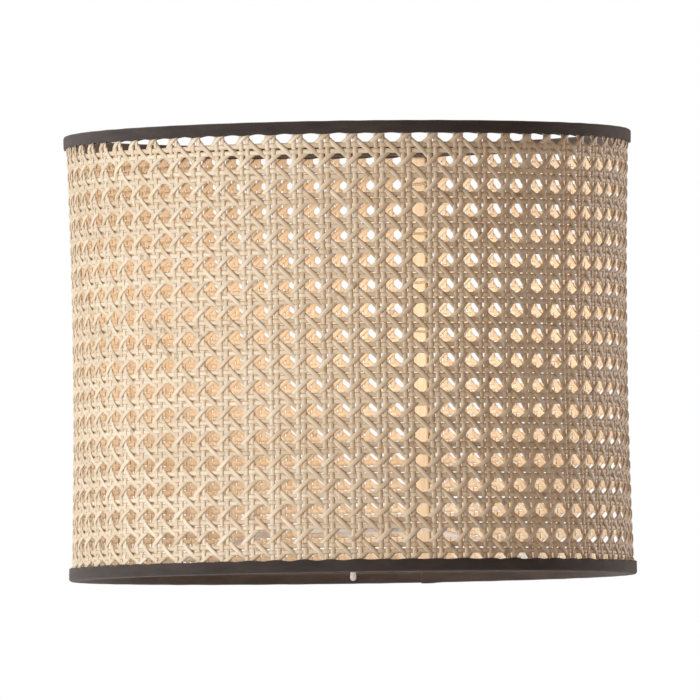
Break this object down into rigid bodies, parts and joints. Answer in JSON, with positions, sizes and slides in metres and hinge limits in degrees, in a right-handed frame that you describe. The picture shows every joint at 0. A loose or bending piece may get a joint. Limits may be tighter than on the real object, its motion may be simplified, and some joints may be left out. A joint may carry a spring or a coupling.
{
  "type": "lamp shade",
  "caption": "Straight drum lamp shade of open octagonal-hole cane webbing on wire hoops, with folded tape rims and a spider with an E27 fitter ring.",
  "frame": {"origin": "on the drum's axis, in the plane of the bottom rim", "axes": "+Z along the drum's axis towards the top rim, -Y the front, so the webbing's seam is at the back, 15 degrees to the right of +Y as seen from the front"},
  "size_m": [0.3, 0.3, 0.235],
  "materials": {
    "cane": "natural peeled cane, satin skin",
    "thread": "waxed twisted thread",
    "trim_tape": "black woven tape, matte",
    "frame": "off-white powder coat, satin"
  },
  "bodies": {
    "root": {"cane_webbing": "cane", "seam_strip_outer": "cane", "seam_strip_inner": "cane", "seam_lashings": "thread", "top_trim": "trim_tape", "bottom_trim": "trim_tape", "top_hoop": "frame", "bottom_hoop": "frame", "spoke_1": "frame", "spoke_2": "frame", "spoke_3": "frame", "fitter_ring": "frame"}
  },
  "joints": []
}
